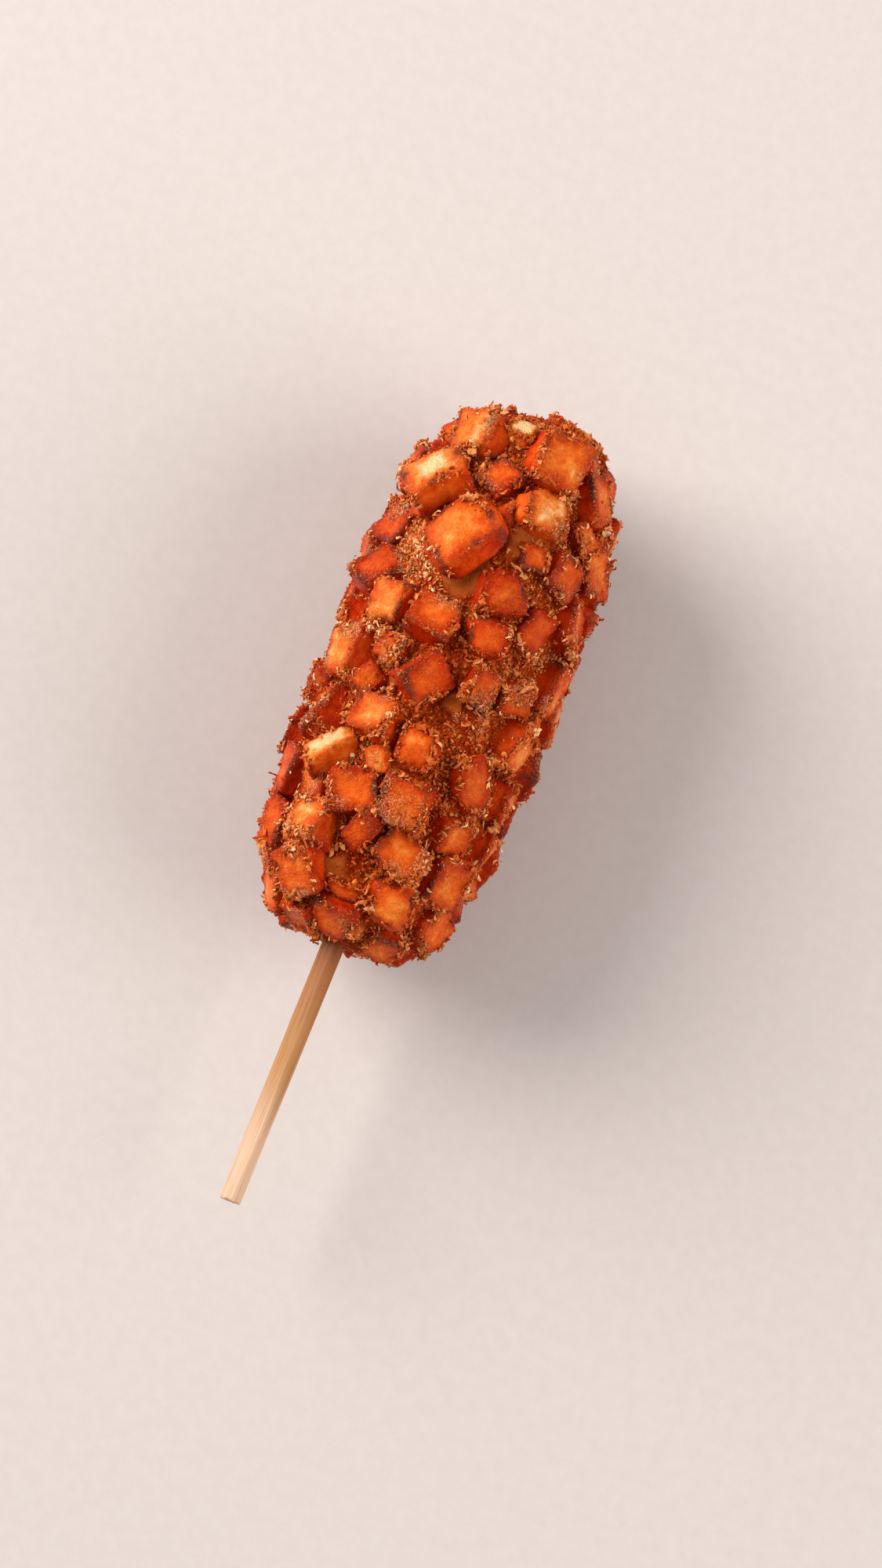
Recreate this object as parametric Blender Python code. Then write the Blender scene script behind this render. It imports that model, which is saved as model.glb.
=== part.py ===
"""Potato corn dog on a bamboo stick, lying on its side: a battered sausage rolled in diced potato.

Metres, +Z up. The long axis runs along Y, with the tip at +Y and the stick at -Y. The origin is the
bottom centre of the whole, so the floor is z = 0. Run: blender --background --python part.py
"""

import itertools
import math
import random

import bmesh
import bpy
from mathutils import Euler, Matrix, Vector

MM = 0.001

# The battered body, a blunt superellipse turned about the long axis.
BATTER_RADIUS = 26.2 * MM
BATTER_HALF_LENGTH = 72.5 * MM
BLUNTNESS = 3.2
AXIS_HEIGHT = 30.6 * MM  # the floor cuts the lowest cubes a little, which gives them flat feet
BATTER_SEGMENTS = 36
BATTER_RINGS = 30
BUMP_HEIGHT = 0.7 * MM

# The potato cubes.
CUBE_DEPTH = 8.6 * MM
SEAT_LIMIT = 0.998  # of the batter's half length, as far toward an end as a cube's seat goes
CUBE_RISE = 5.0 * MM  # how far a cube's outer face stands off the batter
CUBE_TAPER = 0.17  # the sides close in toward the batter, so that cubes can stand shoulder to shoulder
EDGE_ROUND = 0.9 * MM
CUT_SLANT = 0.06  # a hand-made cut is out of true by up to this slope each way
CUBE_TILT = 9.0  # degrees, the most that a cube leans from the way its place faces
POCKET_GAP = 0.3 * MM
NEIGHBOUR_GAP = 0.5 * MM
SETTLE_ROUNDS = 160

# The cubes on the shown side, as measured looking down on it from a little toward the butt: the middle
# of the outer face, up the body and to the right of its axis, then width, length, clockwise twist in
# degrees, and rise. All but the twist are in mm, from the middle of the body.
VIEW_LEAN = math.radians(8)
SIGHT_ROUNDS = 30
SHOWN_CUBES = [
    # round the tip
    (66.5, 7, 14, 14, 5, 6.5),
    (65.5, -14, 12, 12, -14, 6.5),
    (68, -4, 8, 7, 10, 4.5),
    (59, 20, 10, 13, -15, 5.5),
    (54, -5, 9, 9, 20, 3.5),
    (49, 10, 14, 13, -10, 5.0),
    (48, -21, 13, 16, 37, 6.5),
    # the upper half
    (37, -9, 16, 20, 38, 6.5),
    (34, -28, 10, 11, 15, 4.0),
    (42, 27, 11, 14, -5, 5.0),
    (38, 19, 10, 11, 10, 4.0),
    (34, 13, 7, 7, -20, 3.5),
    (26, 7, 12, 12, -8, 5.0),
    (25, 27, 11, 13, 20, 5.0),
    (20, 18, 9, 12, 15, 4.0),
    (20, -27, 11, 12, 35, 6.0),
    (14, -20, 10, 11, -5, 5.5),
    (13, -9, 12, 11, 8, 5.0),
    # the middle
    (15, 10, 11, 11, -12, 4.5),
    (9, 29, 10, 13, 0, 5.0),
    (5, 11, 9, 9, 10, 4.0),
    (2, 20, 10, 9, -15, 4.0),
    (4, -17, 8, 8, 20, 3.0),
    (-1, -25, 13, 13, 5, 6.0),
    (0.5, -4, 12, 13, 38, 5.5),
    (6, -31, 10, 10, -20, 4.5),
    (-8, 26, 10, 12, 15, 5.0),
    (-9, 12, 9, 8, -25, 1.5),
    (-17, -13, 12, 10, 12, 5.5),
    (-18, 2, 12, 12, -5, 5.0),
    # the lower half
    (-19, -26, 10, 13, -10, 5.0),
    (-27, -19, 9, 13.5, 42, 6.0),
    (-23, 19, 10, 14, -22, 5.0),
    (-25, 28, 9, 11, 10, 4.5),
    (-33, 1.5, 12, 12, 5, 5.0),
    (-36, -10.5, 12, 11, -20, 5.0),
    (-35, -28, 11, 12, 10, 5.5),
    (-35, 19, 10, 10, -8, 4.5),
    (-36, 28, 9, 10, 0, 4.5),
    (-45, -18, 14, 10, 10, 5.5),
    (-46, 8, 13, 10, 22, 4.5),
    (-49, 22, 11, 13, -8, 5.0),
    (-50, -27, 10, 12, 12, 5.5),
    # the butt, round the stick
    (-59.5, -3, 9, 5, -8, 2.5),
    (-59, 10, 13, 12, 0, 5.0),
    (-57, -15, 12, 12, -12, 6.0),
    (-61, 22, 10, 11, 20, 5.0),
    (-67, -4, 11, 10, -8, 4.0),
    (-66.5, -17.5, 10, 10, 25, 4.0),
    (-66.5, 16, 10, 9, -20, 3.8),
]

# The cubes that turn away round the sides and the ends: place along the body in mm, place around it in
# degrees from straight up, right positive, then width, length, twist and rise as above.
SIDE_CUBES = [
    (71.4, 60, 10, 10, 10, 2.5),
    (67.5, 95, 10, 10, 15, 3.5),
    (67.5, -95, 10, 10, -10, 3.0),
    (69.5, 165, 10, 10, 25, 2.8),
    (50, -92, 11, 12, 20, 5.0),
    (52, 92, 11, 11, -15, 5.0),
    (-10, -99, 11, 11, 20, 5.0),
    (-70, -38, 9, 9, 10, 3.0),
]

# The cubes of the hidden side, in staggered rows. They are fried into the batter as one solid with it.
HIDDEN_ROW_PITCH = 13.4 * MM
HIDDEN_ROWS_EACH_WAY = 5
HIDDEN_SIZE = 11.0 * MM
HIDDEN_END_RISE = 3.0 * MM  # at the butt and the tip
HIDDEN_ARC = (80.0, 280.0)  # degrees around the body, behind the cubes above
HIDDEN_SPACING = 13.2 * MM
HIDDEN_CLEARANCE = 9.6 * MM  # from the middle of a cube that is a part of its own
HIDDEN_SEED = 7

# The stick, square in section and thinner at its free end.
STICK_FREE_LENGTH = 72.5 * MM
STICK_BURIED_LENGTH = 92.0 * MM
STICK_TIP_SIDE = 4.5 * MM
STICK_ROOT_SIDE = 5.0 * MM
STICK_TURN = math.radians(24)
STICK_EDGE = 0.35 * MM

BATTER_COLOUR = (0.42, 0.13, 0.03, 1.0)
POTATO_COLOUR = (0.72, 0.19, 0.02, 1.0)
STICK_COLOUR = (0.78, 0.58, 0.36, 1.0)


def clear_scene():
    for obj in list(bpy.data.objects):
        bpy.data.objects.remove(obj)


def material(name, colour, roughness):
    made = bpy.data.materials.new(name)
    made.use_nodes = True
    shader = made.node_tree.nodes["Principled BSDF"]
    shader.inputs["Base Color"].default_value = colour
    shader.inputs["Roughness"].default_value = roughness
    shader.inputs["Metallic"].default_value = 0.0
    return made


def object_from(bm, name, finish, collection=None):
    mesh = bpy.data.meshes.new(name)
    bm.to_mesh(mesh)
    bm.free()
    mesh.materials.append(finish)
    obj = bpy.data.objects.new(name, mesh)
    (collection or bpy.context.scene.collection).objects.link(obj)
    return obj


def helper_collection(name):
    """Holds cutters and buried pieces, which shape the batter and aren't nodes themselves."""
    made = bpy.data.collections.new(name)
    bpy.context.scene.collection.children.link(made)
    return made


def as_helper(obj):
    obj.hide_render = True
    obj.display_type = "WIRE"
    return obj


def batter_radius(along):
    share = min(abs(along) / BATTER_HALF_LENGTH, 1.0)
    return BATTER_RADIUS * (1 - share**BLUNTNESS) ** (1 / BLUNTNESS)


def seat(along, around):
    """The batter's surface at a place: its point and outward normal, from the middle of the axis."""
    radius = batter_radius(along)
    slope = BLUNTNESS - 1
    out = (radius / BATTER_RADIUS) ** slope / BATTER_RADIUS
    forward = math.copysign((abs(along) / BATTER_HALF_LENGTH) ** slope, along) / BATTER_HALF_LENGTH
    spoke = Vector((math.sin(around), 0, math.cos(around)))
    normal = (spoke * out + Vector((0, forward, 0))).normalized()
    return spoke * radius + Vector((0, along, 0)), normal


class Cube:
    """A potato cube: its place on the batter, its size, and its twist about the way it faces."""

    def __init__(self, along, around, width, length, twist, rise, seed):
        self.along = along
        self.around = around
        self.half = Vector((width, length, CUBE_DEPTH)) / 2
        self.rise = rise
        self.seed = seed
        chance = random.Random(seed)
        tilt = [math.radians(chance.uniform(-CUBE_TILT, CUBE_TILT)) for _ in range(2)]
        self.lean = Euler((tilt[0], tilt[1], -twist)).to_matrix()
        self.cuts = self.hand_cuts(chance)

    def hand_cuts(self, chance):
        """The planes of the six cuts, each as its normal and its distance from the cube's middle."""
        cuts = {}
        for axis in range(3):
            for side in (-1, 1):
                normal = Vector(chance.uniform(-CUT_SLANT, CUT_SLANT) for _ in range(3))
                normal[axis] = side
                distance = self.half[axis]
                if axis < 2:
                    normal.z -= CUBE_TAPER
                    distance -= CUBE_TAPER * self.half.z
                cuts[axis, side] = (normal.normalized(), distance / normal.length)
        return cuts

    def corner(self, signs, grow=0.0):
        """Where three of the cuts meet, with every cut moved out by grow."""
        meeting = [self.cuts[axis, signs[axis]] for axis in range(3)]
        planes = Matrix([normal for normal, _ in meeting])
        return planes.inverted() @ Vector([distance + grow for _, distance in meeting])

    def corners(self):
        return [self.corner(signs) for signs in itertools.product((-1, 1), repeat=3)]

    def matrix(self):
        point, normal = seat(self.along, self.around)
        side = Vector((0, 1, 0)).cross(normal).normalized()
        up_body = normal.cross(side)
        frame = Matrix((side, up_body, normal)).transposed() @ self.lean
        centre = point + normal * (self.rise - self.half.z) + Vector((0, 0, AXIS_HEIGHT))
        return Matrix.Translation(centre) @ frame.to_4x4()

    def nudge(self, push):
        """Slides over the batter by the part of a push that lies along its surface."""
        _, normal = seat(self.along, self.around)
        side = Vector((0, 1, 0)).cross(normal).normalized()
        limit = BATTER_HALF_LENGTH * SEAT_LIMIT
        self.along = max(-limit, min(limit, self.along + push.dot(normal.cross(side))))
        self.around += push.dot(side) / max(batter_radius(self.along), CUBE_DEPTH)


def place_seen_at(seen_along, seen_across, rise):
    """The place along and around at which a cube's outer face is seen at a spot of the shown side."""
    along, around = seen_along, 0.0
    limit = BATTER_HALF_LENGTH * SEAT_LIMIT
    for _ in range(SIGHT_ROUNDS):
        point, normal = seat(along, around)
        face = point + normal * rise
        error = seen_along - face.y * math.cos(VIEW_LEAN) - face.z * math.sin(VIEW_LEAN)
        along = max(-limit, min(limit, along + error / 2))
        around = math.asin(max(-0.98, min(0.98, seen_across / math.hypot(face.x, face.z))))
    return along, around


def shown_cubes():
    rows = []
    for along, across, *shape, twist, rise in SHOWN_CUBES:
        rows.append((*place_seen_at(along * MM, across * MM, rise * MM), *shape, twist, rise))
    for along, around, *shape, twist, rise in SIDE_CUBES:
        rows.append((along * MM, math.radians(around), *shape, twist, rise))
    return [
        Cube(along, around, width * MM, length * MM, math.radians(twist), rise * MM, seed)
        for seed, (along, around, width, length, twist, rise) in enumerate(rows, start=1)
    ]


def push_apart(first, second):
    """How far first has to move to clear second, by the separating axes of their faces, or None."""
    a, b = first.matrix(), second.matrix()
    between = a.translation - b.translation
    if between.length > first.half.length + second.half.length + NEIGHBOUR_GAP:
        return None
    corners_a = [a @ corner for corner in first.corners()]
    corners_b = [b @ corner for corner in second.corners()]
    axes = [a.to_3x3() @ normal for normal, _ in first.cuts.values()]
    axes += [b.to_3x3() @ normal for normal, _ in second.cuts.values()]
    least, way = math.inf, None
    for axis in axes:
        if axis.dot(between) < 0:
            axis = -axis
        overlap = max(c.dot(axis) for c in corners_b) - min(c.dot(axis) for c in corners_a) + NEIGHBOUR_GAP
        if overlap <= 0:
            return None
        if overlap < least:
            least, way = overlap, axis * overlap
    return way


def settle(cubes):
    """Slides crowded cubes apart over the batter, as they do when it is rolled in them."""
    for _ in range(SETTLE_ROUNDS):
        moved = False
        for i, first in enumerate(cubes):
            for second in cubes[i + 1 :]:
                push = push_apart(first, second)
                if push is None:
                    continue
                first.nudge(push * 0.5)
                second.nudge(push * -0.5)
                moved = True
        if not moved:
            break


def cube_shape(cube, grow=0.0, edge_round=EDGE_ROUND):
    """A hand-cut cube, larger by grow on every side."""
    bm = bmesh.new()
    bmesh.ops.create_cube(bm, size=2.0)
    for vertex in bm.verts:
        vertex.co = cube.corner([round(x) for x in vertex.co], grow)
    if edge_round:
        bmesh.ops.bevel(
            bm, geom=bm.edges[:], offset=edge_round, segments=1, profile=0.5, affect="EDGES", material=-1
        )
    bmesh.ops.triangulate(bm, faces=bm.faces[:])
    return bm


def make_shown_cubes(cubes, finish, pockets):
    for cube in cubes:
        obj = object_from(cube_shape(cube), f"potato_cube_{cube.seed:02d}", finish)
        obj.matrix_world = cube.matrix()
        pocket = cube_shape(cube, grow=POCKET_GAP, edge_round=0)
        pocket = as_helper(object_from(pocket, f"pocket_{cube.seed:02d}", finish, pockets))
        pocket.matrix_world = cube.matrix()


def hidden_cubes():
    """Staggered rows round the side that is turned away, from butt to tip."""
    chance = random.Random(HIDDEN_SEED)
    first, last = (math.radians(a) for a in HIDDEN_ARC)
    for row in range(-HIDDEN_ROWS_EACH_WAY, HIDDEN_ROWS_EACH_WAY + 1):
        along = row * HIDDEN_ROW_PITCH
        rise = HIDDEN_END_RISE if abs(row) == HIDDEN_ROWS_EACH_WAY else CUBE_RISE
        count = max(2, round((last - first) * batter_radius(along) / HIDDEN_SPACING) + 1 - row % 2)
        step = (last - first) / (count - 0.5)
        for place in range(count):
            around = first + step * (place + 0.25 + 0.25 * (row % 2))
            yield Cube(
                along + chance.uniform(-1, 1) * MM,
                around + math.radians(chance.uniform(-3, 3)),
                HIDDEN_SIZE * chance.uniform(0.9, 1.1),
                HIDDEN_SIZE * chance.uniform(0.9, 1.1),
                math.radians(chance.uniform(-45, 45)),
                rise * chance.uniform(0.95, 1.15),
                100 * HIDDEN_SEED + 10 * row + place,
            )


def make_hidden_cubes(shown, finish, collection):
    for number, cube in enumerate(hidden_cubes(), start=1):
        middle = cube.matrix().translation
        if any((other.matrix().translation - middle).length < HIDDEN_CLEARANCE for other in shown):
            continue
        obj = object_from(cube_shape(cube, edge_round=0), f"buried_{number:02d}", finish, collection)
        obj.matrix_world = cube.matrix()
        as_helper(obj)


def bump(along, around):
    """The batter's low, uneven swell."""
    turn = along / BATTER_RADIUS
    wave = math.sin(3 * around + 2.1 * turn) + math.sin(5 * around - 3.3 * turn + 1.3)
    return BUMP_HEIGHT * 0.5 * (wave + math.sin(2 * around + 5.2 * turn + 0.6))


def batter_shape():
    bm = bmesh.new()
    bmesh.ops.create_uvsphere(bm, u_segments=BATTER_SEGMENTS, v_segments=BATTER_RINGS, radius=1.0)
    for vertex in bm.verts:
        along = BATTER_HALF_LENGTH * math.sin(vertex.co.z * math.pi / 2)
        if abs(vertex.co.z) > 0.9999:
            vertex.co = Vector((0, along, AXIS_HEIGHT))
            continue
        around = math.atan2(vertex.co.x, -vertex.co.y)
        radius = batter_radius(along)
        radius += bump(along, around) * radius / BATTER_RADIUS
        vertex.co = Vector((radius * math.sin(around), along, AXIS_HEIGHT + radius * math.cos(around)))
    bmesh.ops.recalc_face_normals(bm, faces=bm.faces[:])
    return bm


def floor_block(finish):
    """Everything above the floor, which the batter and the cubes fried into it are cut to."""
    bm = bmesh.new()
    bmesh.ops.create_cube(bm, size=4 * BATTER_HALF_LENGTH)
    bmesh.ops.translate(bm, verts=bm.verts[:], vec=(0, 0, 2 * BATTER_HALF_LENGTH))
    return as_helper(object_from(bm, "above_floor", finish))


def stick_shape(grow):
    """A square bar along Y from its free end into the body, larger by grow on every side."""
    bm = bmesh.new()
    bmesh.ops.create_cube(bm, size=1.0)
    free_end = -BATTER_HALF_LENGTH - STICK_FREE_LENGTH
    buried_end = -BATTER_HALF_LENGTH + STICK_BURIED_LENGTH
    for vertex in bm.verts:
        at_root = vertex.co.y > 0
        side = (STICK_ROOT_SIDE if at_root else STICK_TIP_SIDE) + 2 * grow
        end = buried_end + grow if at_root else free_end
        vertex.co = Vector((vertex.co.x * side, end, vertex.co.z * side))
    bmesh.ops.bevel(
        bm, geom=bm.edges[:], offset=STICK_EDGE, segments=1, profile=0.5, affect="EDGES", material=-1
    )
    return bm


def make_stick(finish, pockets):
    place = Matrix.Translation((0, 0, AXIS_HEIGHT)) @ Matrix.Rotation(-STICK_TURN, 4, "Y")
    stick = object_from(stick_shape(0), "stick", finish)
    stick.matrix_world = place
    socket = as_helper(object_from(stick_shape(POCKET_GAP), "stick_socket", finish, pockets))
    socket.matrix_world = place


def boolean(obj, name, operation, other):
    modifier = obj.modifiers.new(name, "BOOLEAN")
    modifier.operation = operation
    modifier.solver = "EXACT"
    if isinstance(other, bpy.types.Collection):
        modifier.operand_type = "COLLECTION"
        modifier.collection = other
    else:
        modifier.object = other
    modifier.use_self = False


def make_batter(finish, buried, pockets, above_floor):
    batter = object_from(batter_shape(), "batter", finish)
    boolean(batter, "hidden_cubes", "UNION", buried)
    boolean(batter, "flat_feet", "INTERSECT", above_floor)
    boolean(batter, "pockets", "DIFFERENCE", pockets)


def stand_on_origin():
    """Moves everything sideways so that the origin is the bottom centre of the whole."""
    bpy.context.view_layer.update()
    graph = bpy.context.evaluated_depsgraph_get()
    corners = [
        obj.matrix_world @ vertex.co
        for obj in bpy.context.scene.objects
        if not obj.hide_render
        for vertex in obj.evaluated_get(graph).data.vertices
    ]
    centre = [(min(c[i] for c in corners) + max(c[i] for c in corners)) / 2 for i in range(2)]
    for obj in bpy.data.objects:
        obj.location.x -= centre[0]
        obj.location.y -= centre[1]


def main():
    clear_scene()
    batter_finish = material("batter", BATTER_COLOUR, 0.55)
    potato_finish = material("potato", POTATO_COLOUR, 0.35)
    stick_finish = material("stick", STICK_COLOUR, 0.6)
    buried = helper_collection("fried_in")
    pockets = helper_collection("pockets")
    cubes = shown_cubes()
    settle(cubes)
    make_shown_cubes(cubes, potato_finish, pockets)
    make_hidden_cubes(cubes, potato_finish, buried)
    make_stick(stick_finish, pockets)
    make_batter(batter_finish, buried, pockets, floor_block(batter_finish))
    stand_on_origin()


main()
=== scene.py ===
import itertools
import math
import random

import bmesh
import bpy
import numpy as np
from mathutils import Euler, Matrix, Vector


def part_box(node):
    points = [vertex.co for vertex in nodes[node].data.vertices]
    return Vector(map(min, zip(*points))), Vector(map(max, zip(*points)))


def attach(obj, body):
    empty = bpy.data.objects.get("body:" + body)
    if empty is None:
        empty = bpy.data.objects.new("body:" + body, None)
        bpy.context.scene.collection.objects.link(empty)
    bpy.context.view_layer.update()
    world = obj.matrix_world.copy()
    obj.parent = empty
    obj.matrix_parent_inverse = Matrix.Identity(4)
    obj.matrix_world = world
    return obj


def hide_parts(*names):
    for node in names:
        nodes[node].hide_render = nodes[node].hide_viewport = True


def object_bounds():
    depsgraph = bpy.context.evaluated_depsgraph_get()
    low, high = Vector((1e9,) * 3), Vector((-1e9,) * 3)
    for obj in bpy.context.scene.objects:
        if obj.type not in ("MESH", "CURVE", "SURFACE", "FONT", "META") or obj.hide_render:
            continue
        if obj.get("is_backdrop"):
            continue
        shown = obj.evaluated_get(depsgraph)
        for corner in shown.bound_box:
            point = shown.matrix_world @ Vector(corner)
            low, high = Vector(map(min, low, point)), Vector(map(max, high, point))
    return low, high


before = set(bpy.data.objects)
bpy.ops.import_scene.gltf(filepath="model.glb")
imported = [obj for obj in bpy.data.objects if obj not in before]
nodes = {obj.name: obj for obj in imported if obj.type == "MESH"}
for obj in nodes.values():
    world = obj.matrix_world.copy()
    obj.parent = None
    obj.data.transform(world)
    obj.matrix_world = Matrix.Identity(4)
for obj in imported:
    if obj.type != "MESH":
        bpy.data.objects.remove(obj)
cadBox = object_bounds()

mm = 0.001

# the body's axis runs along Y through the stick's middle, and its middle is 145 mm from the free end
stickLow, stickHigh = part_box("stick")
axisX = (stickLow[0] + stickHigh[0]) / 2
axisZ = (stickLow[2] + stickHigh[2]) / 2
body = {"middle": stickLow[1] + 145 * mm, "radius": 26.2 * mm, "halfLength": 72.5 * mm, "blunt": 3.2}
floorGap = 0.02 * mm  # the least height of any point over the floor

# numbers that stir a cell's place into noise
stirring = {"steps": (374761393, 668265263, 915488749), "stir": 1274126177, "seedShift": 7.31}


def cellNoise(points, size, seed):
    # smooth noise from -1 to 1 with a swell for every size, the same at the same point each run
    at = points / size + seed * stirring["seedShift"]
    cell = np.floor(at).astype(np.int64)
    part = at - cell
    part = part * part * (3 - 2 * part)
    total = np.zeros(len(points))
    for corner in itertools.product((0, 1), repeat=3):
        mixed = (cell + corner) @ np.array(stirring["steps"])
        mixed = (mixed ^ (mixed >> 13)) * stirring["stir"]
        value = ((mixed ^ (mixed >> 16)) & 0xFFFF) / 32767.5 - 1
        total += value * np.prod(np.where(corner, part, 1 - part), axis=1)
    return total


def layeredNoise(points, size, seed, layers=3, fade=0.5):
    return sum(cellNoise(points, size * 0.5**k, seed + k) * fade**k for k in range(layers))


def smoothStep(low, high, value):
    share = np.clip((value - low) / (high - low), 0, 1)
    return share * share * (3 - 2 * share)


def readVectors(items, name):
    flat = np.empty(len(items) * 3, dtype=np.float32)
    items.foreach_get(name, flat)
    return flat.reshape(-1, 3).astype(float)


def writePoints(mesh, points):
    mesh.vertices.foreach_set("co", np.asarray(points, dtype=np.float32).ravel())
    mesh.update()


def liftOffFloor(points):
    points[..., 2] = np.maximum(points[..., 2], floorGap)


def meshFrom(bm, name):
    mesh = bpy.data.meshes.new(name)
    bm.to_mesh(mesh)
    bm.free()
    return mesh


def paint(mesh, **given):
    # one number for each point under each name, which the finishes read
    for name, values in given.items():
        layer = mesh.attributes.new(name, "FLOAT", "POINT")
        layer.data.foreach_set("value", np.asarray(values, dtype=np.float32))


def addToScene(name, data):
    thing = bpy.data.objects.new(name, data)
    bpy.context.scene.collection.objects.link(thing)
    return thing


def keepPiece(name, mesh, finish, slot, *replaced):
    piece = addToScene(name, mesh)
    mesh.materials.clear()
    mesh.materials.append(finish)
    mesh.shade_smooth()
    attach(piece, "root")
    if replaced:
        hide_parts(*replaced)
    return piece


def addNode(tree, kind, feeds=None, **settings):
    # feeds gives each socket of a shader node its value, or the socket that it is linked from
    node = tree.nodes.new(kind)
    for name, value in settings.items():
        setattr(node, name, value)
    for socket, value in (feeds or {}).items():
        if isinstance(value, bpy.types.NodeSocket):
            tree.links.new(value, node.inputs[socket])
        else:
            node.inputs[socket].default_value = value
    return node


def colourRamp(tree, factor, stops):
    node = addNode(tree, "ShaderNodeValToRGB", {"Fac": factor})
    ramp = node.color_ramp
    while len(ramp.elements) < len(stops):
        ramp.elements.new(0.5)
    for element, (place, colour) in zip(ramp.elements, stops):
        element.position = place
        element.color = (*colour, 1)
    return node.outputs["Color"]


def reckon(tree, operation, first, second=0.0, third=0.0, clamp=False):
    feeds = {0: first, 1: second, 2: third}
    return addNode(tree, "ShaderNodeMath", feeds, operation=operation, use_clamp=clamp).outputs[0]


def rangeOf(tree, value, low, high, newLow=0.0, newHigh=1.0):
    feeds = {"Value": value, 1: low, 2: high, 3: newLow, 4: newHigh}
    return addNode(tree, "ShaderNodeMapRange", feeds, interpolation_type="SMOOTHSTEP").outputs[0]


def mixColour(tree, share, first, second, blend="MIX"):
    first = first if isinstance(first, bpy.types.NodeSocket) else (*first, 1)
    second = second if isinstance(second, bpy.types.NodeSocket) else (*second, 1)
    feeds = {0: share, 6: first, 7: second}
    return addNode(tree, "ShaderNodeMix", feeds, data_type="RGBA", blend_type=blend).outputs[2]


def noiseOf(tree, scale, detail=3.0, roughness=0.55, distortion=0.0, stretch=None):
    coords = addNode(tree, "ShaderNodeTexCoord").outputs["Object"]
    if stretch:
        coords = addNode(tree, "ShaderNodeMapping", {"Vector": coords, "Scale": stretch}).outputs[0]
    feeds = {"Vector": coords, "Scale": scale, "Detail": detail, "Roughness": roughness}
    feeds["Distortion"] = distortion
    return addNode(tree, "ShaderNodeTexNoise", feeds).outputs["Fac"]


def attributeOf(tree, name):
    return addNode(tree, "ShaderNodeAttribute", attribute_name=name).outputs["Fac"]


def newFinish(name, **sockets):
    finish = bpy.data.materials.new(name)
    finish.use_nodes = True
    shader = finish.node_tree.nodes["Principled BSDF"]
    for socket, value in sockets.items():
        shader.inputs[socket.replace("_", " ")].default_value = value
    return finish, finish.node_tree, shader


def bumpOf(tree, shader, height, strength, distance):
    feeds = {"Height": height, "Strength": strength, "Distance": distance}
    tree.links.new(addNode(tree, "ShaderNodeBump", feeds).outputs[0], shader.inputs["Normal"])


# the colours of fried potato, from its burnt rims to its palest faces
fried = {
    "burnt": (0.12, 0.016, 0.010),
    "mauve": (0.26, 0.050, 0.030),
    "darkRed": (0.36, 0.015, 0.001),
    "deepRed": (0.50, 0.028, 0.001),
    "redOrange": (0.60, 0.060, 0.003),
    "orange": (0.74, 0.112, 0.008),
    "golden": (0.84, 0.245, 0.036),
    "pale": (0.95, 0.58, 0.29),
    "paleCrumb": (0.90, 0.49, 0.23),
}

# painted highlights: the colour, fineness and edge of pale specks put in for the glints of light on oil and
# crumb
paintedGlints = {
    "colour": (0.96, 0.70, 0.45),
    "fineness": 3000,
    "gathers": 0.14,  # how much more of it lies where its ground is rough
    "edge": (0.78, 0.86),
}


def withPaintedGlints(tree, colour, where, most):
    # painted highlights: pale glint specks as fine as sugar grains, more of them the higher where is
    grains = noiseOf(tree, paintedGlints["fineness"], 1.0, 0.5)
    grains = reckon(tree, "MULTIPLY_ADD", where, paintedGlints["gathers"], grains)
    return mixColour(tree, rangeOf(tree, grains, *paintedGlints["edge"], 0.0, most), colour, paintedGlints["colour"])


potatoLook = {
    "glow": {"Subsurface_Weight": 0.38, "Subsurface_Radius": (1.0, 0.18, 0.03), "Subsurface_Scale": 0.0024},
    "gloss": {"Specular_IOR_Level": 0.34, "Specular_Tint": (1.0, 0.36, 0.08, 1.0)},
    "oil": {"Coat_Weight": 0.03, "Coat_Roughness": 0.15},
    "fineness": (190, 700, 2200),  # of the broad, middle and fine pattern
    # downSides here darkens a cube's sides, partly its own colour and partly painted shade
    "byBroad": 0.95, "byMiddle": 0.45, "atRims": -0.40, "downSides": -0.42, "deeper": 0.61,
    "burnt": {"fineness": 130, "broken": 2.4, "ragged": 0.3, "edge": (2.12, 2.70), "most": 0.90},
    "bark": (0.48, 0.66),
    "crumb": {"whereCrumby": 0.20, "downSides": -0.10, "edge": (0.64, 0.74), "most": 0.6},
    "paintedGlints": 0.85,
    "roughness": (0.30, 0.50),
    "relief": {"plain": 0.55, "whereCrumby": 1.3, "byMiddle": 0.7, "downSides": -0.75, "depth": 1.3 * mm},
}


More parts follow.
